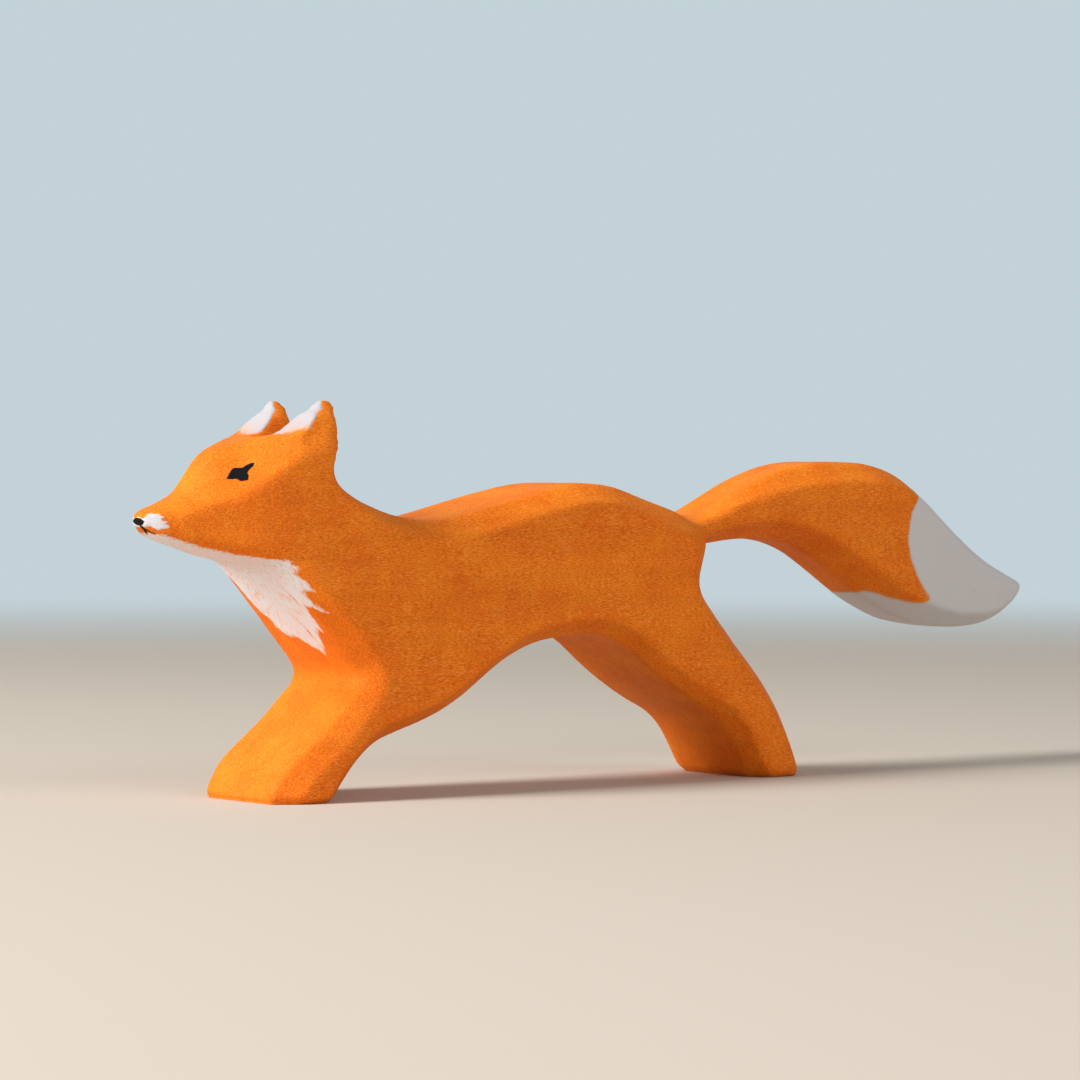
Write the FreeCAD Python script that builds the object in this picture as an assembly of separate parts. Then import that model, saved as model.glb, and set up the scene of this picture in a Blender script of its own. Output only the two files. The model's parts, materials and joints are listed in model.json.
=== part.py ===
import FreeCAD, Part

import math
import os

V = FreeCAD.Vector

# Driving sizes, in millimetres
figure_length = 174.0      # nose tip to tail tip, along X
figure_height = 60.0       # sole to ear tip, along Z
board_thickness = 24.0     # the sawn board that the fox is cut from, along Y
bevel_depth = 3.4          # how far the knife takes the board's edges in, seen from the side
muzzle_width = 4.4         # across the tip of the snout
cheek_width = 22.3         # across the cheeks, under the ears
ear_inset = 1.75           # how far each ear's outer face stands in from the cheek
ear_gap = 11.0             # between the ears, at their tips
crest_width = 3.0          # flat left along the top of the snout
tail_width = 17.6          # across the brush at its widest
tail_end_width = 6.0       # across the last cut of the brush
coat = 0.12                # thickness of a brushed coat of paint
nose_width = 3.6           # across the black nose
nose_height = 1.5          # top to bottom of the black nose
eye_length = 3.6           # eye mark, corner to corner
mouth_stroke = 0.55        # width of the brush line of the mouth
overrun = 4.0              # how far a cutting shape stands past the wood

# Places that follow from the sizes above
half_board = board_thickness / 2
half_length = figure_length / 2
ear_span = cheek_width - 2 * ear_inset

# Side outline of the fox, clockwise from the nose over the back. Each row holds
# along the length, up the height, half the flat facet over the half board, bevel over bevel_depth.
forehead_shares = [
    (0.000, 0.708, 0.950, 0.09),
    (0.014, 0.730, 0.950, 0.09),
    (0.029, 0.748, 0.950, 0.09),
    (0.041, 0.768, 0.950, 0.09),
    (0.049, 0.798, 0.950, 0.09),
    (0.060, 0.842, 0.950, 0.09),
    (0.070, 0.868, 0.950, 0.09),
    (0.083, 0.883, 0.950, 0.09),
    (0.108, 0.902, 0.950, 0.09),
    (0.120, 0.907, 0.950, 0.09),
    (0.130, 0.915, 0.950, 0.09),
    (0.138, 0.931, 0.950, 0.09),
    (0.148, 0.957, 0.950, 0.09),
    (0.1545, 0.981, 0.950, 0.09),
    (0.159, 1.000, 0.950, 0.09),
]
back_shares = [
    (0.159, 1.000, 0.950, 0.09),
    (0.1645, 0.990, 0.940, 0.10),
    (0.168, 0.968, 0.940, 0.10),
    (0.1695, 0.938, 0.930, 0.12),
    (0.1685, 0.910, 0.930, 0.14),
    (0.1655, 0.882, 0.920, 0.17),
    (0.162, 0.856, 0.910, 0.22),
    (0.160, 0.830, 0.900, 0.28),
    (0.161, 0.806, 0.880, 0.34),
    (0.1665, 0.785, 0.850, 0.40),
    (0.1745, 0.770, 0.820, 0.48),
    (0.190, 0.747, 0.780, 0.60),
    (0.2075, 0.727, 0.750, 0.70),
    (0.233, 0.707, 0.710, 0.80),
    (0.261, 0.696, 0.680, 0.88),
    (0.284, 0.697, 0.667, 0.90),
    (0.313, 0.713, 0.667, 0.90),
    (0.351, 0.740, 0.667, 0.88),
    (0.391, 0.767, 0.667, 0.88),
    (0.423, 0.784, 0.667, 0.88),
    (0.457, 0.785, 0.667, 0.88),
    (0.477, 0.775, 0.667, 0.90),
    (0.503, 0.750, 0.667, 0.95),
    (0.532, 0.723, 0.667, 1.05),
    (0.555, 0.700, 0.640, 1.15),
    (0.583, 0.665, 0.580, 1.35),
]
haunch_shares = [
    (0.583, 0.665, 0.580, 1.60),
    (0.5815, 0.598, 0.620, 1.25),
    (0.5755, 0.564, 0.650, 1.10),
    (0.5715, 0.530, 0.667, 1.00),
    (0.574, 0.497, 0.667, 0.95),
    (0.582, 0.462, 0.667, 0.95),
    (0.614, 0.358, 0.667, 0.95),
    (0.650, 0.238, 0.667, 0.92),
    (0.676, 0.112, 0.667, 0.90),
    (0.692, -0.008, 0.667, 0.90),
]
hind_sole_shares = [
    (0.692, -0.008, 0.667, 0.18),
    (0.629, -0.008, 0.667, 0.18),
]
belly_shares = [
    (0.629, -0.008, 0.667, 0.65),
    (0.611, 0.078, 0.700, 0.65),
    (0.600, 0.126, 0.720, 0.65),
    (0.586, 0.165, 0.740, 0.65),
    (0.566, 0.197, 0.760, 0.65),
    (0.546, 0.230, 0.770, 0.65),
    (0.524, 0.270, 0.770, 0.65),
    (0.504, 0.312, 0.760, 0.65),
    (0.487, 0.351, 0.740, 0.68),
    (0.470, 0.379, 0.720, 0.72),
    (0.451, 0.392, 0.700, 0.78),
    (0.417, 0.390, 0.690, 0.80),
    (0.384, 0.377, 0.680, 0.80),
    (0.345, 0.327, 0.667, 0.80),
    (0.302, 0.245, 0.667, 0.80),
    (0.259, 0.187, 0.667, 0.80),
    (0.232, 0.163, 0.667, 0.80),
    (0.211, 0.140, 0.667, 0.80),
    (0.195, 0.105, 0.667, 0.80),
    (0.166, -0.008, 0.667, 0.85),
]
front_sole_shares = [
    (0.166, -0.008, 0.667, 0.18),
    (0.098, -0.008, 0.740, 0.18),
]
chest_shares = [
    (0.098, -0.008, 0.740, 1.10),
    (0.109, 0.067, 0.770, 1.13),
    (0.124, 0.112, 0.790, 1.15),
    (0.145, 0.160, 0.800, 1.15),
    (0.166, 0.213, 0.800, 1.10),
    (0.181, 0.258, 0.775, 1.02),
    (0.190, 0.290, 0.740, 0.92),
    (0.190, 0.315, 0.720, 0.86),
    (0.184, 0.343, 0.700, 0.84),
    (0.173, 0.382, 0.690, 0.82),
    (0.153, 0.448, 0.680, 0.74),
    (0.133, 0.515, 0.680, 0.62),
    (0.117, 0.567, 0.660, 0.56),
    (0.108, 0.587, 0.610, 0.60),
    (0.092, 0.602, 0.530, 0.76),
    (0.071, 0.612, 0.450, 0.95),
    (0.051, 0.627, 0.350, 1.10),
    (0.032, 0.643, 0.270, 0.85),
    (0.018, 0.658, 0.200, 0.45),
    (0.003, 0.686, 0.150, 0.09),
]
muzzle_shares = [
    (0.003, 0.686, 0.150, 0.09),
    (0.000, 0.708, 0.950, 0.09),
]
stretches = [forehead_shares, back_shares, haunch_shares, hind_sole_shares,
             belly_shares, front_sole_shares, chest_shares, muzzle_shares]

# How the head narrows to the snout, seen from above. Each row holds along the length,
# then how far from muzzle to cheek width the head has grown.
cheek_shares = [
    (0.000, 0.00),
    (0.011, 0.10),
    (0.023, 0.21),
    (0.046, 0.40),
    (0.069, 0.57),
    (0.092, 0.74),
    (0.115, 0.865),
    (0.138, 0.95),
    (0.161, 1.00),
    (0.190, 1.05),
    (0.220, 1.10),
]
# Heights of the narrowing, from the chest where it has died out to above the head, each with
# how much nearer to the nose it lies there, along the length
cheek_level_shares = [(0.46, 0.11), (0.59, 0.00), (1.10, 0.00)]

# The brow facets, one each side. Each row holds along the length, the height of the ridge
# above the cheek, then twice how far from crest width to ear span, with the height there.
brow_shares = [
    (-0.02, 0.700, 0.05, 0.708, 0.00, 0.715),
    (0.020, 0.712, 0.16, 0.727, 0.00, 0.742),
    (0.042, 0.730, 0.25, 0.752, 0.01, 0.773),
    (0.055, 0.738, 0.33, 0.780, 0.04, 0.822),
    (0.066, 0.745, 0.39, 0.803, 0.06, 0.861),
    (0.080, 0.765, 0.48, 0.823, 0.13, 0.880),
    (0.095, 0.793, 0.62, 0.843, 0.29, 0.893),
    (0.108, 0.819, 0.77, 0.860, 0.51, 0.901),
    (0.120, 0.840, 0.92, 0.875, 0.75, 0.909),
    (0.130, 0.854, 1.00, 0.900, 0.94, 0.930),
    (0.143, 0.867, 1.00, 0.915, 0.89, 0.960),
    (0.155, 0.875, 0.975, 0.935, 0.68, 0.988),
    (0.168, 0.877, 0.96, 0.940, 0.65, 0.990),
    (0.200, 0.885, 1.03, 0.950, 0.70, 1.000),
]

# The notch between the ears. Each row holds along the length and the height of its foot,
# and each side row a height and the width there over ear_gap.
notch_shares = [
    (0.110, 0.912),
    (0.125, 0.893),
    (0.145, 0.880),
    (0.170, 0.865),
    (0.200, 0.850),
]
notch_side_shares = [(0.9135, 0.42), (0.9575, 0.62), (0.9917, 1.00), (1.080, 1.80)]
notch_foot_share = 0.18        # width of the notch's foot over ear_gap

# Cross-sections of the tail. Each row holds along the length, then heights of the top facet,
# upper ridge, lower ridge and under facet, then widths at those four over the full width.
tail_shares = [
    (0.540, 0.675, 0.660, 0.635, 0.612, 0.34, 0.56, 0.58, 0.30),
    (0.585, 0.698, 0.686, 0.655, 0.615, 0.40, 0.68, 0.70, 0.34),
    (0.610, 0.724, 0.710, 0.668, 0.624, 0.43, 0.73, 0.74, 0.34),
    (0.632, 0.757, 0.730, 0.678, 0.632, 0.46, 0.75, 0.76, 0.34),
    (0.663, 0.797, 0.750, 0.684, 0.634, 0.50, 0.80, 0.82, 0.34),
    (0.695, 0.826, 0.770, 0.674, 0.622, 0.52, 0.85, 0.88, 0.34),
    (0.724, 0.839, 0.782, 0.648, 0.592, 0.54, 0.90, 0.93, 0.34),
    (0.753, 0.843, 0.786, 0.605, 0.542, 0.56, 0.94, 0.97, 0.36),
    (0.784, 0.838, 0.786, 0.552, 0.484, 0.56, 0.97, 1.00, 0.38),
    (0.816, 0.817, 0.772, 0.500, 0.437, 0.54, 0.97, 0.99, 0.38),
    (0.844, 0.778, 0.736, 0.464, 0.404, 0.50, 0.93, 0.94, 0.38),
    (0.873, 0.718, 0.680, 0.438, 0.388, 0.46, 0.86, 0.86, 0.36),
    (0.902, 0.655, 0.620, 0.422, 0.380, 0.42, 0.77, 0.77, 0.34),
    (0.931, 0.594, 0.566, 0.418, 0.382, 0.38, 0.66, 0.66, 0.30),
    (0.960, 0.548, 0.528, 0.428, 0.398, 0.30, 0.54, 0.54, 0.26),
    (0.983, 0.521, 0.508, 0.452, 0.430, 0.22, 0.42, 0.42, 0.20),
    (1.000, 0.500, 0.496, 0.480, 0.474, 0.14, 0.26, 0.26, 0.14),
]
tail_end_start_share = 0.900   # from here on the tail's widths ease to tail_end_width

# Edges of the painted areas, seen from the side, as along the length and up the height
tail_paint_shares = [
    (0.880, 0.860), (0.862, 0.790), (0.837, 0.735), (0.828, 0.660), (0.831, 0.590),
    (0.842, 0.520), (0.862, 0.462), (0.836, 0.451), (0.806, 0.462), (0.780, 0.474),
    (0.766, 0.470), (0.766, 0.300), (1.060, 0.300), (1.060, 0.860),
]
chin_paint_shares = [
    (0.012, 0.590), (0.012, 0.656), (0.040, 0.637), (0.069, 0.624), (0.092, 0.614),
    (0.106, 0.604), (0.113, 0.590),
]
# Edge of the bib, seen from the front, as across over half_board and up the height
bib_shares = [
    (-0.72, 0.618), (-0.80, 0.575), (-0.82, 0.540), (-0.73, 0.520), (-0.84, 0.474), (-0.54, 0.470),
    (-0.48, 0.416), (-0.24, 0.358), (0.02, 0.378), (0.30, 0.400), (0.50, 0.435),
    (0.66, 0.475), (0.74, 0.530), (0.80, 0.575), (0.72, 0.618),
]
bib_depth_share = 0.200        # how far back along the length the bib can lie
muzzle_paint_shares = [
    (-0.030, 0.722), (0.002, 0.720), (0.008, 0.722), (0.0135, 0.716), (0.012, 0.700),
    (0.0177, 0.688), (0.0107, 0.678), (0.004, 0.672), (-0.030, 0.660),
]
ear_paint_shares = [
    (0.120, 0.905), (0.133, 0.913), (0.1405, 0.929), (0.1508, 0.956), (0.1575, 0.980),
    (0.1615, 1.000), (0.163, 1.050), (0.110, 1.050),
]
mouth_shares = [(-0.004, 0.689), (0.004, 0.683), (0.013, 0.676)]
nose_height_share = 0.698      # middle of the black nose

# The eye mark: its middle, then its outline over eye_length
eye_middle_share = (0.0825, 0.815)
eye_outline_shares = [
    (-0.52, -0.10), (-0.30, 0.06), (-0.10, 0.20), (0.08, 0.20), (0.30, 0.33), (0.50, 0.38),
    (0.28, 0.12), (0.20, -0.08), (0.10, -0.22), (-0.08, -0.22), (-0.30, -0.12),
]


def along(share):
    """Place along the fox, nose to tail, with zero at mid length."""
    return share * figure_length - half_length


def up(share):
    """Height above the floor."""
    return share * figure_height


def grade(start, end, share):
    """Value part of the way from start to end."""
    return start + (end - start) * share


def unit(a, b):
    """Direction from a to b in the side view."""
    run, rise = b[0] - a[0], b[1] - a[1]
    size = math.hypot(run, rise)
    return run / size, rise / size


def inner_point(before, point, after, depth_before, depth_after):
    """The point moved into the wood by the depths of the two lines that meet there."""
    first, second = unit(before, point), unit(point, after)
    n1, n2 = (first[1], -first[0]), (second[1], -second[0])
    cross = n1[0] * n2[1] - n1[1] * n2[0]
    bend_limit = 0.35
    if abs(cross) < bend_limit:
        depth = (depth_before + depth_after) / 2
        mid = unit((0, 0), (n1[0] + n2[0], n1[1] + n2[1]))
        return point[0] + mid[0] * depth, point[1] + mid[1] * depth
    run = (depth_before * n2[1] - depth_after * n1[1]) / cross
    rise = (depth_after * n1[0] - depth_before * n2[0]) / cross
    return point[0] + run, point[1] + rise


def outline_rings(grow):
    """Rim and inner points of each stretch of the outline, with the surface moved out by grow."""
    rings = []
    for index, rows in enumerate(stretches):
        previous, following = stretches[index - 1], stretches[(index + 1) % len(stretches)]
        places = [(along(row[0]), up(row[1])) for row in rows]
        earlier = (along(previous[-2][0]), up(previous[-2][1]))
        later = (along(following[1][0]), up(following[1][1]))
        chain = [earlier] + places + [later]
        rim, inner = [], []
        for step, row in enumerate(rows):
            depth_in = depth_out = row[3] * bevel_depth
            if step == 0:
                depth_in = previous[-1][3] * bevel_depth
            if step == len(rows) - 1:
                depth_out = following[0][3] * bevel_depth
            near = chain[step:step + 3]
            flat = row[2] * half_board
            outer = inner_point(*near, -grow, -grow)
            sunk = inner_point(*near, depth_in - grow, depth_out - grow)
            rim.append((outer[0], flat, outer[1]))
            inner.append((sunk[0], half_board + grow, sunk[1]))
        rings.append((rim, inner))
    return rings


def curve(points):
    """One smooth edge through the points, spaced by their distance apart."""
    if len(points) == 2:
        return Part.makeLine(points[0], points[1])
    marks = [0.0]
    for a, b in zip(points, points[1:]):
        marks.append(marks[-1] + a.distanceToPoint(b))
    spline = Part.BSplineCurve()
    spline.interpolate(Points=points, Parameters=marks)
    return spline.toShape()


def board(grow):
    """The board cut to the side outline, with all its edges bevelled."""
    wires = [[], [], [], []]
    for rim, inner in outline_rings(grow):
        rows = ((inner, -1), (rim, -1), (rim, 1), (inner, 1))
        for edges, (points, side) in zip(wires, rows):
            edges.append(curve([V(x, side * y, z) for x, y, z in points]))
    return Part.makeLoft([Part.Wire(edges) for edges in wires], True, True)


def under_floor():
    """What the saw takes off below the floor, so that both soles are flat."""
    corner = V(-half_length - overrun, -half_board - overrun, -overrun)
    return Part.makeBox(figure_length + 2 * overrun, board_thickness + 2 * overrun, overrun, corner)


def cheek_cut(side, grow):
    """What is pared off one cheek, so that the head narrows to the snout."""
    wires = []
    for height_share, lag in cheek_level_shares:
        points = []
        for place, gain in cheek_shares:
            width = grade(muzzle_width, cheek_width, gain)
            points.append(V(along(place - lag) - grow, side * (width / 2 + grow), up(height_share)))
        far = side * (half_board + overrun)
        nose_corner = V(points[0].x - overrun, points[0].y, points[0].z)
        spline = Part.BSplineCurve()
        spline.interpolate(Points=points)
        corners = [points[-1], V(points[-1].x, far, points[0].z),
                   V(nose_corner.x, far, points[0].z), nose_corner, points[0]]
        lines = [Part.makeLine(a, b) for a, b in zip(corners, corners[1:])]
        wires.append(Part.Wire([spline.toShape()] + lines))
    return Part.makeLoft(wires, True, True)


def wedge(rows, side):
    """A cutting shape lofted through triangles that stand across the fox."""
    wires = []
    for place, corners in rows:
        points = [V(place, side * y, z) for y, z in corners]
        wires.append(Part.makePolygon(points + points[:1]))
    return Part.makeLoft(wires, True, True)


def head_width(place):
    """Width of the head at a place along the length, between the rows of cheek_shares."""
    gains = cheek_shares
    if place <= gains[0][0]:
        return muzzle_width
    for (a, low), (b, high) in zip(gains, gains[1:]):
        if place <= b:
            return grade(muzzle_width, cheek_width, grade(low, high, (place - a) / (b - a)))
    return grade(muzzle_width, cheek_width, gains[-1][1])


def brow_cut(side, grow):
    """What is pared off above one brow ridge, from the snout to the back of the ear."""
    rows = []
    for place, ridge_height, mid_gain, mid_height, top_gain, top_height in brow_shares:
        ridge = (head_width(place) / 2, up(ridge_height))
        middle = (grade(crest_width, ear_span, mid_gain) / 2, up(mid_height))
        top = (grade(crest_width, ear_span, top_gain) / 2, up(top_height))
        low, high = unit(ridge, middle), unit(middle, top)
        across, lift = low[1] * grow, -low[0] * grow
        outer = (ridge[0] - low[0] * overrun + across, ridge[1] - low[1] * overrun + lift)
        middle = (middle[0] + across, middle[1] + lift)
        across, lift = high[1] * grow, -high[0] * grow
        inner = (top[0] + high[0] * overrun + across, top[1] + high[1] * overrun + lift)
        over = (outer[0] + overrun, inner[1] + overrun)
        rows.append((along(place), [outer, middle, inner, over]))
    return wedge(rows, side)


def ear_notch(grow):
    """The notch that parts the two ears."""
    rows = []
    for place, foot_share in notch_shares:
        sides = [(ear_gap * notch_foot_share / 2 - grow, up(foot_share) + grow)]
        sides += [(ear_gap * width / 2 - grow, up(height)) for height, width in notch_side_shares]
        mirrored = [(-y, z) for y, z in reversed(sides)]
        rows.append((along(place), sides + mirrored))
    return wedge(rows, 1)


def tail(grow):
    """The brush: eight facets along a curved centre line."""
    wires = []
    for row in tail_shares:
        place, heights, widths = row[0], row[1:5], row[5:9]
        ease = max(0.0, (place - tail_end_start_share) / (1 - tail_end_start_share))
        last = tail_shares[-1][6]
        full = grade(tail_width, tail_end_width / last, ease * ease)
        halves = [share * full / 2 + grow for share in widths]
        lifts = (grow, grow, -grow, -grow)
        levels = [up(share) + lift for share, lift in zip(heights, lifts)]
        x = along(place) + (grow if place == 1 else 0)
        right = [V(x, half, level) for half, level in zip(halves, levels)]
        left = [V(x, -half, level) for half, level in zip(reversed(halves), reversed(levels))]
        wires.append(Part.makePolygon(right + left + right[:1]))
    return Part.makeLoft(wires, True, False)


def wood(grow=0.0):
    """The whole carved fox, with its surface moved out by grow."""
    cuts = [under_floor(), ear_notch(grow)]
    for side in (-1, 1):
        cuts += [cheek_cut(side, grow), brow_cut(side, grow)]
    return board(grow).cut(cuts).fuse(tail(grow))


def side_area(points, low, high):
    """An outline in the side view, carried across the fox from low to high."""
    places = [V(x, low, z) for x, z in points]
    return Part.Face(Part.makePolygon(places + places[:1])).extrude(V(0, high - low, 0))


def side_region(shares, low, high):
    """The same, with the outline given in shares of length and height."""
    return side_area([(along(x), up(z)) for x, z in shares], low, high)


def front_region(shares, start, end):
    """An outline in the front view, carried along the fox from start to end."""
    places = [V(start, y * half_board, up(z)) for y, z in shares]
    return Part.Face(Part.makePolygon(places + places[:1])).extrude(V(end - start, 0, 0))


def stroke_region(shares, width, low, high):
    """A brush line of even width through points in the side view."""
    places = [(along(x), up(z)) for x, z in shares]
    chain = [places[0]] + places + [places[-1]]
    over, under = [], []
    for before, (x, z), after in zip(chain, places, chain[2:]):
        run, rise = unit(before, after)
        over.append((x - rise * width / 2, z + run * width / 2))
        under.append((x + rise * width / 2, z - run * width / 2))
    return side_area(over + under[::-1], low, high)


def save(name, shape):
    """Write one piece as its own file."""
    shape.exportStep("parts/" + name + ".step")
    print(name, "solids", len(shape.Solids), "volume", round(shape.Volume, 2), shape.isValid())


os.makedirs("parts", exist_ok=True)
bare = wood()
skin = wood(coat).cut(bare)
reach = half_board + overrun
nose_front = -half_length - overrun

# The nose is an oval on the tip of the snout, seen from the front
nose_oval = Part.Ellipse(V(0, 0, 0), nose_width / 2, nose_height / 2)
nose_face = Part.Face(Part.Wire(nose_oval.toShape()))
nose_face.rotate(V(0, 0, 0), V(0, 0, 1), 90)
nose_face.rotate(V(0, 0, 0), V(0, 1, 0), 90)
nose_face.translate(V(nose_front, 0, up(nose_height_share)))
nose_area = nose_face.extrude(V(overrun + nose_height, 0, 0))

mouth_area = stroke_region(mouth_shares, mouth_stroke, -reach, reach)
eye_middle = (along(eye_middle_share[0]), up(eye_middle_share[1]))
eye_points = [(eye_middle[0] + x * eye_length, eye_middle[1] + z * eye_length)
              for x, z in eye_outline_shares]
throat = front_region(bib_shares, nose_front, along(bib_depth_share))
bib_area = side_region(chin_paint_shares, -reach, reach).fuse(throat)

save("wood_body", bare)
save("tail_tip_coat", skin.common(side_region(tail_paint_shares, -reach, reach)))
save("bib_coat", skin.common(bib_area))
muzzle_area = side_region(muzzle_paint_shares, -reach, reach)
save("muzzle_coat", skin.common(muzzle_area).cut(nose_area).cut(mouth_area))
save("nose_coat", skin.common(nose_area))
save("mouth_line", skin.common(mouth_area).cut(nose_area))
for name, side in (("left", -1), ("right", 1)):
    ear_area = side_region(ear_paint_shares, 0, side * reach)
    save(name + "_ear_coat", skin.common(ear_area))
    save(name + "_eye_mark", skin.common(side_area(eye_points, 0, side * reach)))
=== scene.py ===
import json
import math

import bpy
import numpy as np
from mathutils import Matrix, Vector, noise

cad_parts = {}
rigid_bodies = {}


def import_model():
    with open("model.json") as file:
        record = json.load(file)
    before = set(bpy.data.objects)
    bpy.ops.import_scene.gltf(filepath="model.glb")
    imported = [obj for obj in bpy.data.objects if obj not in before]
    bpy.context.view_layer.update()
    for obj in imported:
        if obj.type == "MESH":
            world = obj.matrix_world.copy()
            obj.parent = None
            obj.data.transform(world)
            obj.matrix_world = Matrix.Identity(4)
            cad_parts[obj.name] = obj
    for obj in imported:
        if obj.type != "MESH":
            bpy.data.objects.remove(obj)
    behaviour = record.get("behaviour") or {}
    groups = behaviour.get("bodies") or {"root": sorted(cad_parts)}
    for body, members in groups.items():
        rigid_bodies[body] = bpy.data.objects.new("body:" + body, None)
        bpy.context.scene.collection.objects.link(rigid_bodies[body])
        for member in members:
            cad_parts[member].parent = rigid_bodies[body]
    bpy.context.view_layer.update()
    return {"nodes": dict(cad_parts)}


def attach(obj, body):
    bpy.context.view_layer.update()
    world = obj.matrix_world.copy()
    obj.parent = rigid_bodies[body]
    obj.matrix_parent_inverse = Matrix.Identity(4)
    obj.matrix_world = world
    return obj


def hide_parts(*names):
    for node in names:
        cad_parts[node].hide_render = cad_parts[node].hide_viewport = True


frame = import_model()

mm = 0.001
farAway = 1e9                # mm
tiny = 1e-12                 # keeps a division away from zero
print("frame loaded")


# Small helpers

def linearColour(hexText):
    # sRGB hex to the linear values that Blender's sockets take
    linear = []
    for start in (1, 3, 5):
        value = int(hexText[start:start + 2], 16) / 255
        linear.append(value / 12.92 if value <= 0.04045 else ((value + 0.055) / 1.055) ** 2.4)
    return (*linear, 1.0)


def addNode(tree, kind, settings=None, inputs=None):
    # inputs holds a value or a socket for each named or numbered input
    node = tree.nodes.new(kind)
    for key, value in (settings or {}).items():
        setattr(node, key, value)
    for key, value in (inputs or {}).items():
        if isinstance(value, bpy.types.NodeSocket):
            tree.links.new(value, node.inputs[key])
        else:
            node.inputs[key].default_value = value
    return node


def easeBetween(value, start, end):
    # 0 at start, 1 at end, smooth in between
    t = np.clip((value - start) / (end - start), 0.0, 1.0)
    return t * t * (3 - 2 * t)


def noiseAt(points, perMm, seed):
    # perMm is waves per mm along X, Y and Z; each seed looks at another part of the noise
    scaled = points * np.array(perMm) + seed * 17.3
    return np.array([noise.noise(Vector(place)) for place in scaled])


def unevenness(points, waves):
    # waves holds rows of waves per mm, a seed and a height
    return sum(noiseAt(points, perMm, seed) * height for perMm, seed, height in waves)


def roundCorners(outline, rounds):
    # cuts the corners of a closed outline, so that it looks brushed and not ruled
    line = np.array(outline, float)
    for _ in range(rounds):
        following = np.roll(line, -1, axis=0)
        cuts = [line * 0.75 + following * 0.25, line * 0.25 + following * 0.75]
        line = np.stack(cuts, 1).reshape(-1, 2)
    return line


def insideBy(places, outline):
    # distance to the outline's edge, above zero inside it
    nearest = np.full(len(places), farAway)
    inside = np.zeros(len(places), bool)
    for a, b in zip(outline, np.roll(outline, -1, axis=0)):
        run = b - a
        t = np.clip(((places - a) @ run) / max(run @ run, tiny), 0, 1)
        nearest = np.minimum(nearest, np.linalg.norm(places - a - t[:, None] * run, axis=1))
        crosses = (a[1] > places[:, 1]) != (b[1] > places[:, 1])
        rise = run[1] if abs(run[1]) >= tiny else tiny
        inside ^= crosses & (places[:, 0] < a[0] + (places[:, 1] - a[1]) * run[0] / rise)
    return np.where(inside, nearest, -nearest)


def strokeBy(places, line, halfWidths):
    # how far inside a brush line the places lie; the line's half width changes along it
    best = np.full(len(places), -farAway)
    for (a, b), (widthA, widthB) in zip(zip(line, line[1:]), zip(halfWidths, halfWidths[1:])):
        a, b = np.array(a, float), np.array(b, float)
        run = b - a
        t = np.clip(((places - a) @ run) / (run @ run), 0, 1)
        width = widthA + (widthB - widthA) * t
        best = np.maximum(best, width - np.linalg.norm(places - a - t[:, None] * run, axis=1))
    return best


def sideView(points):
    return points[:, [0, 2]]


def frontView(points):
    return points[:, [1, 2]]


def newPiece(name, points, faces):
    mesh = bpy.data.meshes.new(name)
    mesh.from_pydata((points * mm).tolist(), [], faces)
    mesh.update()
    mesh.shade_smooth()
    piece = bpy.data.objects.new(name, mesh)
    bpy.context.scene.collection.objects.link(piece)
    return piece


def vertexNormals(piece):
    normals = np.zeros(len(piece.data.vertices) * 3, np.float32)
    piece.data.vertices.foreach_get("normal", normals)
    return normals.reshape(-1, 3).astype(float)


def setAttribute(piece, name, values):
    layer = piece.data.attributes.new(name, "FLOAT", "POINT")
    layer.data.foreach_set("value", np.asarray(values, np.float32))


# How the wood was cut shows in the way that each place faces
cutMarks = {
    "slant": 2.3,            # gain of end grain where a cut turns slantwise through the fibres
    "upward": 1.6,           # loss of it where the cut also faces up
    "upwardMost": 0.85,
    "sawn": (0.6, 0.95),     # how squarely the board's own face looks to the side
}


def setGrain(piece, normals):
    # endGrain nears 1 on the bevels of chest and leg, and sawnFace where the board's face is left
    slanted = np.clip(cutMarks["slant"] * np.abs(normals[:, 0] * normals[:, 1]), 0, 1)
    upward = np.clip(cutMarks["upward"] * normals[:, 2], 0, cutMarks["upwardMost"])
    setAttribute(piece, "endGrain", slanted * (1 - upward))
    setAttribute(piece, "sawnFace", easeBetween(np.abs(normals[:, 1]), *cutMarks["sawn"]))


# The carved wood: the CAD solid remeshed, sanded round at its ridges and left slightly uneven.
# All lengths are in mm. A pair of numbers is where a part begins and where it has come in fully,
# along the fox or above the floor.

carvedBody = {
    "voxel": 0.465,
    "sandRounds": 6,         # more rounds give softer ridges
    "sandShare": 0.5,        # how far one round moves a point toward its neighbours
    "pushBack": 1.92,        # how much of that every second round undoes on the fine parts
    "moreRounds": 16,        # for the ears, the snout and the root of the tail
    "headEnd": -50.0,        # along the fox, the ears are ahead of it
    "earHeight": (50.5, 53.5),
    "earFront": (-59.8, -61.4),
    "earTip": (57.6, 58.8),
    "tipFineness": 0.75,
    "snout": (-80.0, -84.5),
    "tailRoot": (15.0, 39.5),          # along the fox and above the floor
    "tailRootReach": (8.0, 4.0),
    "earLean": (1.1, 0.25),  # how far back the tips of the left and the right ear lean
    "leanHeight": (54.0, 60.0),
    "leanPlace": (-61.2, -59.8),
    "earSpread": (0.6, 0.2),           # how much broader those tips are than in the solid
    "spreadHeight": (58.0, 59.8),
    "earBack": -57.6,        # along the fox, the tips are broader from here on
    "snoutRound": (-84.3, -89.9),      # the tip of the nose, at -87.1, gets half of the narrowing
    "snoutNarrowing": 0.8,
    "waveLength": 11.0,      # slow unevenness left by the knife
    "waveDepth": 0.13,
    "rippleLength": 3.6,
    "rippleDepth": 0.045,
    "fineCalm": 0.75,        # how much of the unevenness is left out on the fine parts
    "soleCalm": (1.2, 0.2),  # and just above the soles
    "soleRound": 1.3,        # height of the worn edge round each sole
    "soleWear": 0.6,         # how deep it is worn, as a share of its height
}


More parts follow.
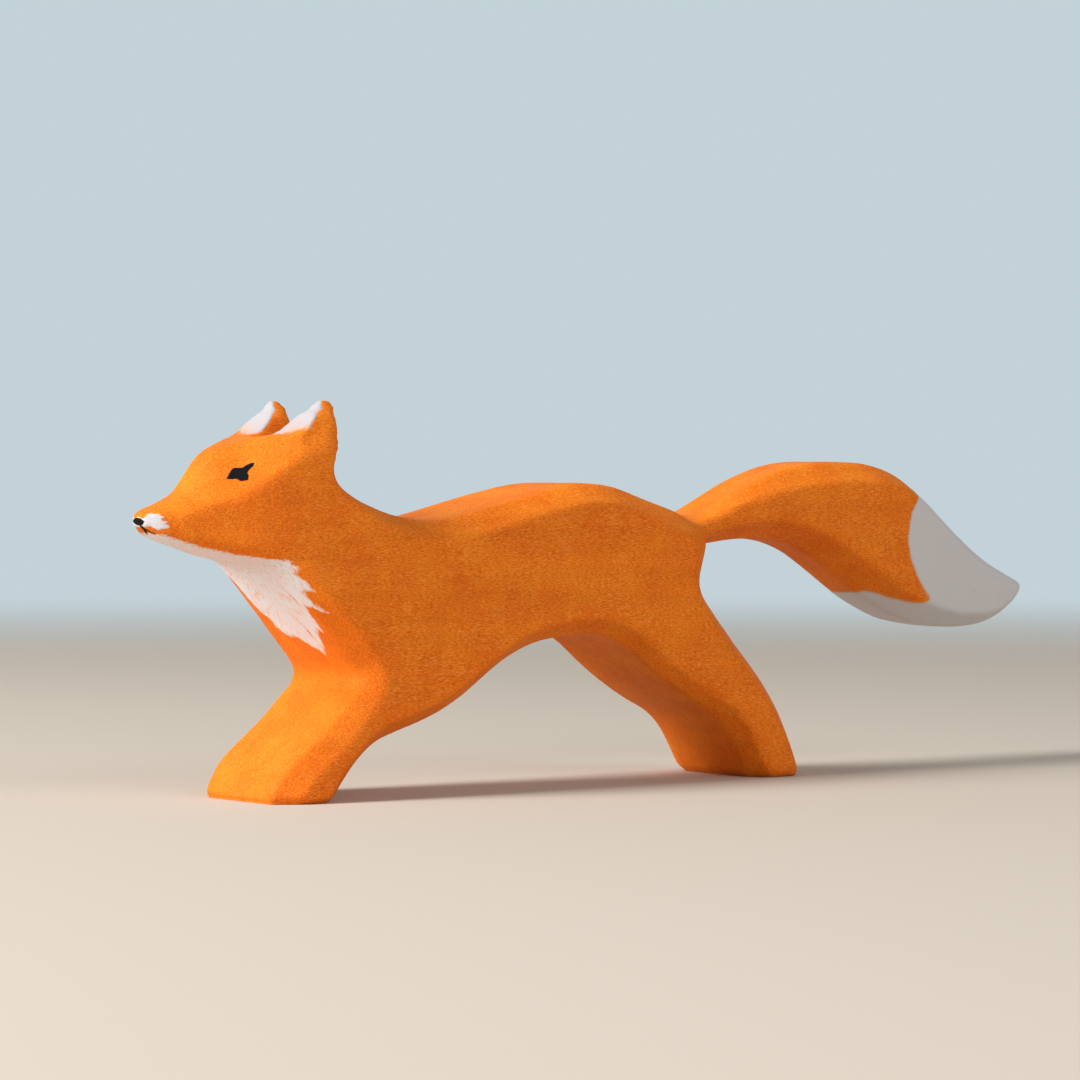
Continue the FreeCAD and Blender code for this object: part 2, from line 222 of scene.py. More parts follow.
def remeshedWood():
    rough = bpy.data.objects.new("roughWood", frame["nodes"]["wood_body"].data.copy())
    bpy.context.scene.collection.objects.link(rough)
    remesh = rough.modifiers.new("remesh", "REMESH")
    remesh.mode = "VOXEL"
    remesh.voxel_size = carvedBody["voxel"] * mm
    graph = bpy.context.evaluated_depsgraph_get()
    mesh = bpy.data.meshes.new_from_object(rough.evaluated_get(graph))
    bpy.data.objects.remove(rough)

    points = np.zeros(len(mesh.vertices) * 3)
    mesh.vertices.foreach_get("co", points)
    edges = np.zeros(len(mesh.edges) * 2, int)
    mesh.edges.foreach_get("vertices", edges)
    quads = [list(face.vertices) for face in mesh.polygons]
    return points.reshape(-1, 3) / mm, edges.reshape(-1, 2), quads


def fineParts(points):
    # the ears are fine at their fronts and tips, and their back edges are worn round
    x, _, z = points.T
    ear = easeBetween(z, *carvedBody["earHeight"]) * (x < carvedBody["headEnd"])
    earFront = easeBetween(x, *carvedBody["earFront"])
    earTip = easeBetween(z, *carvedBody["earTip"])
    snout = easeBetween(x, *carvedBody["snout"])
    fine = np.maximum(ear * np.maximum(earFront, earTip * carvedBody["tipFineness"]), snout)
    rootX, rootZ = carvedBody["tailRoot"]
    tailRoot = easeBetween(np.hypot(x - rootX, z - rootZ), *carvedBody["tailRootReach"])
    further = np.maximum(ear * (1 - earTip), np.maximum(snout, tailRoot))
    return fine, further


def sandSmooth(points, edges, fine, further):
    # on the fine parts every second round pushes back out, so ears and snout keep their size,
    # and some parts get further rounds
    count = np.bincount(edges.ravel(), minlength=len(points))[:, None]
    rounds = carvedBody["sandRounds"]
    for step in range(rounds + carvedBody["moreRounds"]):
        pull = carvedBody["sandShare"] * (1 - carvedBody["pushBack"] * fine * (step % 2))
        if step >= rounds:
            pull = pull * further
        total = np.zeros_like(points)
        for here, other in (edges.T, edges.T[::-1]):
            for axis in range(3):
                total[:, axis] += np.bincount(here, points[other, axis], len(points))
        points = points + pull[:, None] * (total / count - points)
    return points


def shapeEarsAndSnout(points):
    left = points[:, 1] < 0
    lean = np.where(left, *carvedBody["earLean"]) * easeBetween(points[:, 2], *carvedBody["leanHeight"])
    inHead = points[:, 0] < carvedBody["headEnd"]
    points[:, 0] += lean * easeBetween(points[:, 0], *carvedBody["leanPlace"]) * inHead
    broader = easeBetween(points[:, 2], *carvedBody["spreadHeight"])
    spread = np.where(left, *carvedBody["earSpread"]) * broader
    points[:, 0] += spread * (points[:, 0] - carvedBody["earBack"]) * inHead
    narrowing = carvedBody["snoutNarrowing"] * easeBetween(points[:, 0], *carvedBody["snoutRound"])
    points[:, 1] *= 1 - narrowing


def wearSurface(points, normals, fine):
    wave = noiseAt(points, [1 / carvedBody["waveLength"]] * 3, 1)
    ripple = noiseAt(points, [1 / carvedBody["rippleLength"]] * 3, 2)
    calm = 1 - carvedBody["fineCalm"] * fine
    height = (wave * carvedBody["waveDepth"] + ripple * carvedBody["rippleDepth"]) * calm
    onSole = easeBetween(points[:, 2], *carvedBody["soleCalm"])
    points = points + normals * (height * (1 - onSole))[:, None]
    points[:, 2] = np.maximum(points[:, 2], 0.0)
    lowness = np.clip(1 - points[:, 2] / carvedBody["soleRound"], 0, 1) ** 2
    worn = lowness * carvedBody["soleRound"] * carvedBody["soleWear"]
    points[:, :2] -= normals[:, :2] * worn[:, None]
    return points


def carveBody():
    points, edges, quads = remeshedWood()
    fine, further = fineParts(points)
    points = sandSmooth(points, edges, fine, further)
    shapeEarsAndSnout(points)
    piece = newPiece("carvedFox", points, quads)
    points = wearSurface(points, vertexNormals(piece), fine)
    piece.data.vertices.foreach_set("co", (points * mm).ravel())
    piece.data.update()
    normals = vertexNormals(piece)
    setGrain(piece, normals)
    return piece, points, normals, quads


fox, bodyPoints, bodyNormals, bodyQuads = carveBody()
bodyFours = np.array([quad for quad in bodyQuads if len(quad) == 4])
print("carved body:", len(bodyPoints), "points")


# Paint films: each is a thin closed skin over the wood, which thins out at its edge and dives under
# it there. Each paint's "depth" is its thickness in mm, "cuts" how finely the wood's mesh is cut for
# it, and "area" the two corners of a box round it in mm.

paintSkin = {
    "leastCover": 0.02,      # wood with less paint than this gets no skin
    "rows": 2,               # but for this many rows of quads round the paint
    "surfaceCover": 0.25,    # where the paint thins out to this it dives into the wood
    "sinkShare": 0.34,       # the skin's underside lies this share of its depth in the wood
    "sink": 0.12,            # mm, and this much more
    "weld": 1e-5,            # mm
}


def paintFilm(name, coverOf, film):
    low, high = np.array(film["area"], float)
    near = np.all((bodyPoints > low) & (bodyPoints < high), axis=1)
    cover = np.zeros(len(bodyPoints))
    cover[near] = coverOf(bodyPoints[near], bodyNormals[near])
    picked = cover > paintSkin["leastCover"]
    for _ in range(paintSkin["rows"]):
        touched = picked[bodyFours].any(axis=1)
        picked[bodyFours[touched].ravel()] = True
    quads = bodyFours[picked[bodyFours].all(axis=1)]

    # each quad becomes a small grid, with position and normal blended from its corners
    side = film["cuts"] + 1
    steps = np.linspace(0, 1, side)
    u, v = np.meshgrid(steps, steps, indexing="ij")
    weights = np.stack([(1 - u) * (1 - v), u * (1 - v), u * v, (1 - u) * v], -1).reshape(-1, 4)
    points = np.einsum("gk,qkc->qgc", weights, bodyPoints[quads]).reshape(-1, 3)
    normals = np.einsum("gk,qkc->qgc", weights, bodyNormals[quads]).reshape(-1, 3)
    cell = np.arange(side ** 2).reshape(side, side)
    grid = np.stack([cell[:-1, :-1], cell[1:, :-1], cell[1:, 1:], cell[:-1, 1:]], -1).reshape(-1, 4)
    fours = (grid[None] + (np.arange(len(quads)) * side ** 2)[:, None, None]).reshape(-1, 4)
    keys = np.round(points / paintSkin["weld"]).astype(np.int64)
    _, first, inverse = np.unique(keys, axis=0, return_index=True, return_inverse=True)
    points, normals, fours = points[first], normals[first], inverse.ravel()[fours]
    normals /= np.linalg.norm(normals, axis=1)[:, None]

    cover = coverOf(points, normals)
    lift = film["depth"] * (cover - paintSkin["surfaceCover"]) / (1 - paintSkin["surfaceCover"])
    top = points + normals * lift[:, None]
    under = points - normals * (film["depth"] * paintSkin["sinkShare"] + paintSkin["sink"])
    count = len(points)
    pairs = np.concatenate([fours[:, [0, 1]], fours[:, [1, 2]], fours[:, [2, 3]], fours[:, [3, 0]]])
    ordered = np.sort(pairs, axis=1)
    _, index, uses = np.unique(ordered, axis=0, return_index=True, return_counts=True)
    rim = pairs[index[uses == 1]]
    walls = np.stack([rim[:, 1], rim[:, 0], rim[:, 0] + count, rim[:, 1] + count], 1)
    faces = np.concatenate([fours, fours[:, ::-1] + count, walls])
    piece = newPiece(name, np.concatenate([top, under]), faces.tolist())
    setAttribute(piece, "cover", np.concatenate([cover, cover]))
    setGrain(piece, np.concatenate([normals, normals]))
    print(name, len(faces), "faces")
    return piece


def filmEachSide(name, coverOf, film):
    # the same paint on both sides of the head; the area is written for the right one
    (lowX, innerY, lowZ), (highX, outerY, highZ) = film["area"]
    made = {}
    for hand, side in (("left", -1), ("right", 1)):
        lowY, highY = sorted((side * innerY, side * outerY))
        area = ((lowX, lowY, lowZ), (highX, highY, highZ))
        made[hand] = paintFilm(hand + name, coverOf, {**film, "area": area})
    return made


# White on the front facets of the ears: crisp along the carved ridges, fading out at the root
earPaint = {
    "depth": 0.07,
    "cuts": 2,
    "area": ((-68, 1.2, 53.4), (-56, 12.5, 61)),
    "brushed": [((0.5, 3.2, 0.5), 5, 0.55), ((1.0, 7.0, 1.0), 6, 0.3)],
    "rootHeight": 53.7,      # mm above the floor, in the middle of the ear
    "rootMiddle": 6,         # mm from the middle of the board
    "rootSlope": 0.25,       # mm higher for each mm further out
    "rootFade": (-0.4, 2.7),           # mm
    "facing": (0.17, 0.33),  # how squarely the facet has to face forward
    "outward": (0.0, 0.3),   # how squarely the ear's outer face looks to the side
    "edgeHeights": [54.5, 55.1, 56.4, 57.85, 59.6],
    "edge": [-64.1, -63.0, -61.8, -60.3, -60.0],  # mm, where the white ends on that face
    "edgeRagged": 0.3,       # how far its edge follows the brush marks of the root
    "edgeSoftness": (-0.2, 0.2),       # mm
}


def earCover(points, normals):
    x, y, z = points.T
    brushed = unevenness(points, earPaint["brushed"])
    start = earPaint["rootHeight"] + earPaint["rootSlope"] * (np.abs(y) - earPaint["rootMiddle"])
    fadeStart, fadeEnd = earPaint["rootFade"]
    fromRoot = easeBetween(z + brushed, start + fadeStart, start + fadeEnd)
    onFacet = easeBetween(-normals[:, 0], *earPaint["facing"])
    outward = easeBetween(normals[:, 1] * np.sign(y), *earPaint["outward"])
    ahead = np.interp(z, earPaint["edgeHeights"], earPaint["edge"]) - x
    onSide = easeBetween(ahead + brushed * earPaint["edgeRagged"], *earPaint["edgeSoftness"]) * outward
    return fromRoot * np.maximum(onFacet, onSide)


ears = filmEachSide("EarPaint", earCover, earPaint)


# White round the tip of the snout, with ragged ends on the cheeks, seen from the side
muzzlePaint = {
    "depth": 0.06,
    "cuts": 3,
    "area": ((-89, -6, 39), (-82, 6, 44.5)),
    "outline": [(-88.5, 41.9), (-86.9, 42.1), (-86.35, 42.8), (-85.3, 42.95), (-84.7, 42.75),
                (-84.35, 42.45), (-84.75, 42.1), (-84.0, 41.75), (-84.25, 41.45), (-83.6, 40.95),
                (-84.5, 40.8), (-85.0, 40.65), (-85.6, 40.85), (-86.2, 41.1), (-86.7, 41.0),
                (-88.5, 40.7)],
    "ragged": [((0.8, 1.0, 3.5), 8, 0.28)],
    "softness": (-0.16, 0.16),         # mm
}


def muzzleCover(points, normals):
    depthIn = insideBy(sideView(points), roundCorners(muzzlePaint["outline"], 1))
    return easeBetween(depthIn + unevenness(points, muzzlePaint["ragged"]), *muzzlePaint["softness"])


muzzle = paintFilm("muzzlePaint", muzzleCover, muzzlePaint)


# Chin and bib: the chin's edge is a height along the snout, the bib an outline seen from the front
bibPaint = {
    "depth": 0.06,
    "cuts": 2,
    "area": ((-88.5, -12.2, 20), (-50, 9.5, 42)),
    "chinEdge": [(-87.5, 40.9), (-85.5, 40.25), (-82.8, 39.4), (-80.5, 38.6), (-77.8, 37.8),
                 (-75.0, 37.15), (-73.0, 36.85), (-71.0, 36.55), (-69.0, 36.2), (-67.2, 35.9),
                 (-66.0, 35.2)],
    "chinRagged": [((0.35, 1.2, 5.0), 11, 0.22)],
    "chinSoftness": (-0.18, 0.22),     # mm
    "chinBack": (-64.9, -66.4),        # mm along the fox
    "chinFront": (-88.0, -86.6),
    "leftSide": 0.2,         # mm, on the left of this the chin's front fades in
    "leftFade": 0.9,         # over this many mm more
    "outline": [(-5.0, 38.0), (-6.2, 36.9), (-7.4, 36.5), (-8.4, 36.2), (-10.4, 36.0), (-8.9, 35.4),
                (-8.8, 34.9), (-9.5, 34.3), (-10.4, 33.2), (-10.5, 32.1), (-10.7, 31.1), (-9.2, 31.3),
                (-8.8, 30.6), (-9.3, 29.3), (-10.1, 27.7), (-8.9, 28.6), (-7.6, 29.2), (-7.1, 28.0),
                (-7.0, 26.3), (-6.9, 24.8), (-5.9, 25.6), (-5.2, 24.6), (-4.4, 23.1), (-3.4, 21.2),
                (-2.6, 22.0), (-1.4, 22.6), (0.2, 23.2), (1.4, 24.3), (3.2, 23.9), (4.4, 24.6),
                (5.2, 25.8), (5.0, 26.8), (6.2, 27.6), (6.9, 29.2), (7.6, 31.5), (7.8, 34.6),
                (7.4, 38.0)],
    "softness": (-0.42, 0.588),        # mm
    "marksPerMm": (0.4, 1.3, 0.12),    # through the chest, across the bristles' way and along it
    "marks": [((0.8, 1.0, 1.0), 12, 1.0), ((1.7, 2.3, 2.0), 13, 0.5)],
    "bristle": 0.375,        # mm, how far single bristle marks run past the edge
    "slits": [[(-8.2, 27.2), (-7.2, 25.2), (-6.2, 23.6)], [(-4.6, 33.0), (-5.8, 30.2), (-6.6, 28.6)],
              [(-2.0, 27.8), (-2.9, 25.4), (-3.2, 23.8)]],
    "slitHalfWidths": [0.02, 0.16, 0.06],
    "slitEdge": 0.25,        # mm, how deep in paint a slit's edge lies
    "slitSteepness": 3,      # how fast the paint ends from there to the slit's middle
    "facing": (0.08, 0.2),   # how squarely the chest has to face forward
    "bibBack": (-50.0, -52.0),         # mm along the fox
}


def bibCover(points, normals):
    x, y, z = points.T
    edge = np.array(bibPaint["chinEdge"])
    chinIn = np.interp(x, edge[:, 0], edge[:, 1]) - z + unevenness(points, bibPaint["chinRagged"])
    chin = easeBetween(chinIn, *bibPaint["chinSoftness"]) * easeBetween(x, *bibPaint["chinBack"])
    frontStart, frontEnd = bibPaint["chinFront"]
    chin *= easeBetween(x, frontStart, frontEnd + bibPaint["leftFade"] * (y < bibPaint["leftSide"]))
    # bristle marks run down and outward, so the marks are fine across that way and long along it
    through, across, along = bibPaint["marksPerMm"]
    slant = np.stack([(x + z) * through, y * 2 * across - z * across, (z - y) * along], 1)
    marks = unevenness(slant, bibPaint["marks"]) * bibPaint["bristle"]
    bibIn = insideBy(frontView(points), roundCorners(bibPaint["outline"], 1)) + marks
    for slit in bibPaint["slits"]:
        slitIn = strokeBy(frontView(points), slit, bibPaint["slitHalfWidths"])
        bibIn = np.minimum(bibIn, bibPaint["slitEdge"] - bibPaint["slitSteepness"] * slitIn)
    bib = easeBetween(bibIn, *bibPaint["softness"])
    bib *= easeBetween(-normals[:, 0], *bibPaint["facing"]) * easeBetween(x, *bibPaint["bibBack"])
    return np.maximum(chin, bib)


bib = paintFilm("bibPaint", bibCover, bibPaint)


# White end of the brush, with a smooth edge swept back along the underside
tailPaint = {
    "depth": 0.07,
    "cuts": 1,
    "area": ((46, -12, 18), (90, 12, 50)),
    "outline": [(61.5, 47.0), (59.6, 45.2), (57.9, 43.2), (56.9, 41.0), (56.4, 38.6), (56.5, 36.4),
                (57.0, 34.3), (57.9, 32.4), (59.2, 30.5), (60.7, 28.9), (61.6, 27.9), (61.2, 27.4),
                (59.8, 27.15), (58.3, 27.25), (56.2, 27.7), (53.8, 28.3), (51.6, 29.0), (50.2, 29.3),
                (49.3, 28.7), (49.3, 18.0), (92.0, 18.0), (92.0, 47.0)],
    "wander": [((0.4, 0.4, 0.4), 15, 0.18), ((0.7, 3.0, 3.0), 16, 0.05)],
    "softness": (-0.36, 0.36),         # mm
}


def tailCover(points, normals):
    depthIn = insideBy(sideView(points), roundCorners(tailPaint["outline"], 2))
    return easeBetween(depthIn + unevenness(points, tailPaint["wander"]), *tailPaint["softness"])


tailTip = paintFilm("tailTipPaint", tailCover, tailPaint)


# Black marks, each drawn with the tip of a brush: nose, mouth and eyes
nosePaint = {
    "depth": 0.13,
    "cuts": 4,
    "area": ((-89, -4, 40), (-83, 3, 43.6)),
    "outline": [(1.6, 41.9), (1.0, 42.3), (0.1, 42.4), (-0.8, 42.3), (-1.3, 42.1), (-1.75, 41.8),
                (-1.2, 41.4), (-0.6, 41.2), (0.5, 41.2), (1.2, 41.45)],
    "softness": (-0.1, 0.16),          # mm
    "facing": (0.1, 0.3),
}

mouthPaint = {
    "depth": 0.11,
    "cuts": 4,
    "area": ((-89, -4, 38.6), (-82, 3, 42)),
    "nearLine": [(-0.2, 41.2), (-0.5, 40.75), (-1.6, 39.95)],
    "farLine": [(-0.2, 41.2), (-0.1, 40.6), (0.7, 39.95)],
    "halfWidths": [0.28, 0.24, 0.12],  # mm
    "softness": (-0.1, 0.14),          # mm
    "facing": (0.0, 0.15),
}

eyePaint = {
    "depth": 0.09,
    "cuts": 4,
    "area": ((-76, 2.5, 46), (-69, 9.5, 52)),
    "outline": [(-74.85, 48.05), (-74.2, 48.7), (-73.8, 49.35), (-73.2, 49.7), (-72.7, 49.6),
                (-72.2, 49.7), (-71.6, 50.1), (-70.7, 50.5), (-70.75, 50.15), (-71.45, 49.45),
                (-72.0, 49.0), (-71.95, 48.4), (-72.35, 47.75), (-73.1, 47.65), (-73.6, 48.05),
                (-74.2, 47.9)],
    "ragged": [((2.0, 2.0, 2.0), 20, 0.08)],
    "softness": (-0.1, 0.14),          # mm
}


def noseCover(points, normals):
    depthIn = insideBy(frontView(points), roundCorners(nosePaint["outline"], 2))
    return easeBetween(depthIn, *nosePaint["softness"]) * easeBetween(-normals[:, 0], *nosePaint["facing"])


def mouthCover(points, normals):
    lines = [strokeBy(frontView(points), mouthPaint[line], mouthPaint["halfWidths"])
             for line in ("nearLine", "farLine")]
    facing = easeBetween(-normals[:, 0], *mouthPaint["facing"])
    return easeBetween(np.maximum(*lines), *mouthPaint["softness"]) * facing


def eyeCover(points, normals):
    depthIn = insideBy(sideView(points), roundCorners(eyePaint["outline"], 1))
    return easeBetween(depthIn + unevenness(points, eyePaint["ragged"]), *eyePaint["softness"])


nose = paintFilm("nosePaint", noseCover, nosePaint)
mouth = paintFilm("mouthLines", mouthCover, mouthPaint)
eyes = filmEachSide("EyePaint", eyeCover, eyePaint)


# Stained wood: lime or beech, sawn, pared and sanded, then brushed with orange water stain and
# oiled. The eye sees short darker pores along the board, blotches where the stain soaked in,
# and coarser specks where the knife cut across the fibres.

poreColour = "#C03A03"

stainedWood = {
    "stain": "#F2851C",
    "poreLength": 0.65,      # mm
    "poreWidth": 0.15,       # mm, real pores are finer, drawn as coarse as they need to show
    "grainTilt": 7,          # degrees
    "ringsPerMm": (0.02, 0.5, 0.5),    # year rings 2 mm apart
    "strokesPerMm": (2.4, 1.2, 0.12),  # brush strokes in the stain
    # each noise follows one of these stretches, then come its scale, detail and roughness
    "noises": {
        "fibre": ("pores", 1.0, 2.0, 0.55),
        "specks": ("plain", 4.2, 2.0, 0.6),          # 4 to a mm
        "blotches": ("plain", 1 / 7.0, 4.0, 0.6),    # 7 mm wide
        "rings": ("rings", 1.0, 3.0, 0.6),
        "strokes": ("strokes", 1.0, 2.0, 0.5),
        "pricks": ("pores", 0.9, 0.0, 0.5),
    },
    # each mask begins and ends at two values of a noise, and gives the last two there
    "masks": {
        "pores": ("fibre", 0.47, 0.74, 0.0, 1.0),
        "flecks": ("fibre", 0.42, 0.28, 0.0, 1.0),
        "crossPores": ("specks", 0.44, 0.7, 0.0, 1.0),
        "blotches": ("blotches", 0.38, 0.62, 0.0, 1.0),
        "sawnPores": ("pricks", 0.6, 0.7, 0.0, 1.0),
        "ringShade": ("rings", 0.3, 0.7, 0.93, 1.05),
        "strokeShade": ("strokes", 0.3, 0.7, 0.97, 1.03),
    },
    # what lies over the stain, the lowest first: its mask, how strongly it shows, its colour
    "layers": [("blotches", 0.55, "#E66B0E"), ("flecks", 0.6, "#F3A663"), ("pores", 0.62, poreColour),
               ("sawnPores", 0.32, poreColour), ("crossPores", 0.5, poreColour)],
    "roughness": 0.6,
    "poreRoughness": 0.76,
    "specular": 0.12,
    "ior": 1.45,
    "bumpStrength": 0.22,
    "poreDepth": 0.04,       # mm
}


def stainSockets(tree):
    # colour and height of the stained wood, for the wood itself and for paint that thins out over it
    place = addNode(tree, "ShaderNodeTexCoord").outputs["Object"]
    perMm = addNode(tree, "ShaderNodeMapping", inputs={
        "Vector": place, "Scale": (1 / mm, 1 / mm, 1 / mm)}).outputs[0]
    poresPerMm = (1 / stainedWood["poreLength"], 1 / stainedWood["poreWidth"], 1 / stainedWood["poreWidth"])
    stretches = {"plain": perMm}
    for key, tilt, scale in (("pores", stainedWood["grainTilt"], poresPerMm),
                             ("rings", 0, stainedWood["ringsPerMm"]),
                             ("strokes", 0, stainedWood["strokesPerMm"])):
        stretches[key] = addNode(tree, "ShaderNodeMapping", inputs={
            "Vector": perMm, "Rotation": (0, math.radians(tilt), 0), "Scale": scale}).outputs[0]
    noises = {}
    for key, (stretch, scale, detail, roughness) in stainedWood["noises"].items():
        noises[key] = addNode(tree, "ShaderNodeTexNoise", inputs={
            "Vector": stretches[stretch], "Scale": scale, "Detail": detail,
            "Roughness": roughness}).outputs["Fac"]
    masks = {}
    for key, (source, fromMin, fromMax, toMin, toMax) in stainedWood["masks"].items():
        masks[key] = addNode(tree, "ShaderNodeMapRange", inputs={
            "Value": noises[source], "From Min": fromMin, "From Max": fromMax,
            "To Min": toMin, "To Max": toMax}).outputs[0]
    for key, attribute in (("crossPores", "endGrain"), ("sawnPores", "sawnFace")):
        where = addNode(tree, "ShaderNodeAttribute", {"attribute_name": attribute}).outputs["Fac"]
        masks[key] = addNode(tree, "ShaderNodeMath", {"operation": "MULTIPLY"}, {
            0: masks[key], 1: where}).outputs[0]

    colour = linearColour(stainedWood["stain"])
    for key, strength, hexText in stainedWood["layers"]:
        share = addNode(tree, "ShaderNodeMath", {"operation": "MULTIPLY"}, {
            0: masks[key], 1: strength}).outputs[0]
        colour = addNode(tree, "ShaderNodeMix", {"data_type": "RGBA"}, {
            0: share, 6: colour, 7: linearColour(hexText)}).outputs[2]
    shade = addNode(tree, "ShaderNodeMath", {"operation": "MULTIPLY"}, {
        0: masks["ringShade"], 1: masks["strokeShade"]}).outputs[0]
    colour = addNode(tree, "ShaderNodeVectorMath", {"operation": "SCALE"}, {
        0: colour, "Scale": shade}).outputs[0]
    pits = addNode(tree, "ShaderNodeMath", {"operation": "MAXIMUM"}, {
        0: masks["pores"], 1: masks["crossPores"]}).outputs[0]
    height = addNode(tree, "ShaderNodeMath", {"operation": "SUBTRACT"}, {0: 1.0, 1: pits}).outputs[0]
    return colour, height, perMm


def freshMaterial(name):
    material = bpy.data.materials.new(name)
    material.use_nodes = True
    tree = material.node_tree
    tree.nodes.clear()
    return material, tree


def closeMaterial(tree, settings):
    shader = addNode(tree, "ShaderNodeBsdfPrincipled", inputs=settings)
    addNode(tree, "ShaderNodeOutputMaterial", inputs={"Surface": shader.outputs[0]})


def makeStainedWood():
    material, tree = freshMaterial("stainedOiledWood")
    colour, height, _ = stainSockets(tree)
    bump = addNode(tree, "ShaderNodeBump", inputs={
        "Height": height, "Strength": stainedWood["bumpStrength"],
        "Distance": stainedWood["poreDepth"] * mm}).outputs[0]
    rough = addNode(tree, "ShaderNodeMapRange", inputs={
        "Value": height, "To Min": stainedWood["poreRoughness"],
        "To Max": stainedWood["roughness"]}).outputs[0]
    closeMaterial(tree, {"Base Color": colour, "Roughness": rough, "Normal": bump,
                         "Specular IOR Level": stainedWood["specular"], "IOR": stainedWood["ior"]})
    return material


# White water paint laid on with a small brush: matt, streaked along the stroke, the orange
# stain showing pink through it where it is thin.

whitePaint = {
    "bib": {"colour": "#E4E3E6", "thin": "#E8BFA8", "stroke": (-8, 7, -14), "streak": 0.6},
    "ear": {"colour": "#B4B2B6", "thin": "#DFA17E", "stroke": (-6, 0, 6), "streak": 0.3},
    "muzzle": {"colour": "#CFCED1", "thin": "#E0A07C", "stroke": (-3, 1, -0.5), "streak": 0.25},
    "tail": {"colour": "#CBC8C8", "thin": "#CF9468", "stroke": (30, -8, -15), "streak": 0.14},
}

whiteFilm = {
    "streaksPerMm": (0.13, 1.8, 3.4),  # along the stroke, across it and through it
    "bareFrom": (0.46, 0.7),           # values of the streaks between which the paint wears thin
    "body": (0.35, 0.95),    # how much paint it takes to look thin, and to look full
    "veil": (0.12, 0.5),     # how much paint it takes to show at all, and to hide the wood
    "roughness": 0.62,
    "specular": 0.3,
    "ior": 1.5,
    "bumpStrength": 0.25,
    "streakDepth": 0.05,     # mm
}


def makeWhitePaint(name, style):
    material, tree = freshMaterial(name)
    wood, _, perMm = stainSockets(tree)
    cover = addNode(tree, "ShaderNodeAttribute", {"attribute_name": "cover"}).outputs["Fac"]
    # both sides are brushed alike, so the strokes run along |x|, |y|, |z|, and are turned to lie on X
    mirrored = addNode(tree, "ShaderNodeVectorMath", {"operation": "ABSOLUTE"}, {0: perMm}).outputs[0]
    alongX, alongY, alongZ = style["stroke"]
    turn = (0, math.atan2(alongZ, alongX), math.atan2(-alongY, math.hypot(alongX, alongZ)))
    turned = addNode(tree, "ShaderNodeMapping", inputs={
        "Vector": mirrored, "Rotation": turn}).outputs[0]
    stretched = addNode(tree, "ShaderNodeMapping", inputs={
        "Vector": turned, "Scale": whiteFilm["streaksPerMm"]}).outputs[0]
    streaks = addNode(tree, "ShaderNodeTexNoise", inputs={
        "Vector": stretched, "Scale": 1.0, "Detail": 3.0, "Roughness": 0.6}).outputs["Fac"]
    bareStart, bareEnd = whiteFilm["bareFrom"]
    bare = addNode(tree, "ShaderNodeMapRange", inputs={
        "Value": streaks, "From Min": bareStart, "From Max": bareEnd,
        "To Min": 0.0, "To Max": style["streak"]}).outputs[0]
    laid = addNode(tree, "ShaderNodeMath", {"operation": "SUBTRACT", "use_clamp": True}, {
        0: cover, 1: bare}).outputs[0]
    body, veil = [addNode(tree, "ShaderNodeMapRange", inputs={
        "Value": laid, "From Min": start, "From Max": end}).outputs[0]
        for start, end in (whiteFilm["body"], whiteFilm["veil"])]
    paint = addNode(tree, "ShaderNodeMix", {"data_type": "RGBA"}, {
        0: body, 6: linearColour(style["thin"]), 7: linearColour(style["colour"])}).outputs[2]
    colour = addNode(tree, "ShaderNodeMix", {"data_type": "RGBA"}, {
        0: veil, 6: wood, 7: paint}).outputs[2]
    bump = addNode(tree, "ShaderNodeBump", inputs={
        "Height": streaks, "Strength": whiteFilm["bumpStrength"],
        "Distance": whiteFilm["streakDepth"] * mm}).outputs[0]
    closeMaterial(tree, {"Base Color": colour, "Roughness": whiteFilm["roughness"], "Normal": bump,
                         "Specular IOR Level": whiteFilm["specular"], "IOR": whiteFilm["ior"]})
    return material


# Black water paint: near black and matt, with a faint sheen where it lies thick

blackPaint = {
    "colour": "#060506",
    "cloud": "#100F11",
    "cloudsPerMm": 1.8,
    "veil": (0.15, 0.6),     # how much paint it takes to show at all, and to hide the wood
    "roughness": 0.6,
    "specular": 0.1,
    "bumpStrength": 0.3,
    "cloudDepth": 0.06,      # mm
}


def makeBlackPaint():
    material, tree = freshMaterial("brushedBlackPaint")
    wood, _, perMm = stainSockets(tree)
    cover = addNode(tree, "ShaderNodeAttribute", {"attribute_name": "cover"}).outputs["Fac"]
    cloud = addNode(tree, "ShaderNodeTexNoise", inputs={
        "Vector": perMm, "Scale": blackPaint["cloudsPerMm"], "Detail": 3.0,
        "Roughness": 0.6}).outputs["Fac"]
    black = addNode(tree, "ShaderNodeMix", {"data_type": "RGBA"}, {
        0: cloud, 6: linearColour(blackPaint["colour"]), 7: linearColour(blackPaint["cloud"])}).outputs[2]
    veilStart, veilEnd = blackPaint["veil"]
    veil = addNode(tree, "ShaderNodeMapRange", inputs={
        "Value": cover, "From Min": veilStart, "From Max": veilEnd}).outputs[0]
    colour = addNode(tree, "ShaderNodeMix", {"data_type": "RGBA"}, {
        0: veil, 6: wood, 7: black}).outputs[2]
    bump = addNode(tree, "ShaderNodeBump", inputs={
        "Height": cloud, "Strength": blackPaint["bumpStrength"],
        "Distance": blackPaint["cloudDepth"] * mm}).outputs[0]
    closeMaterial(tree, {"Base Color": colour, "Roughness": blackPaint["roughness"], "Normal": bump,
                         "Specular IOR Level": blackPaint["specular"]})
    return material


woodMaterial = makeStainedWood()
blackMaterial = makeBlackPaint()
whiteMaterials = {key: makeWhitePaint("brushedWhitePaint" + key.capitalize(), style)
                  for key, style in whitePaint.items()}
print("materials made")
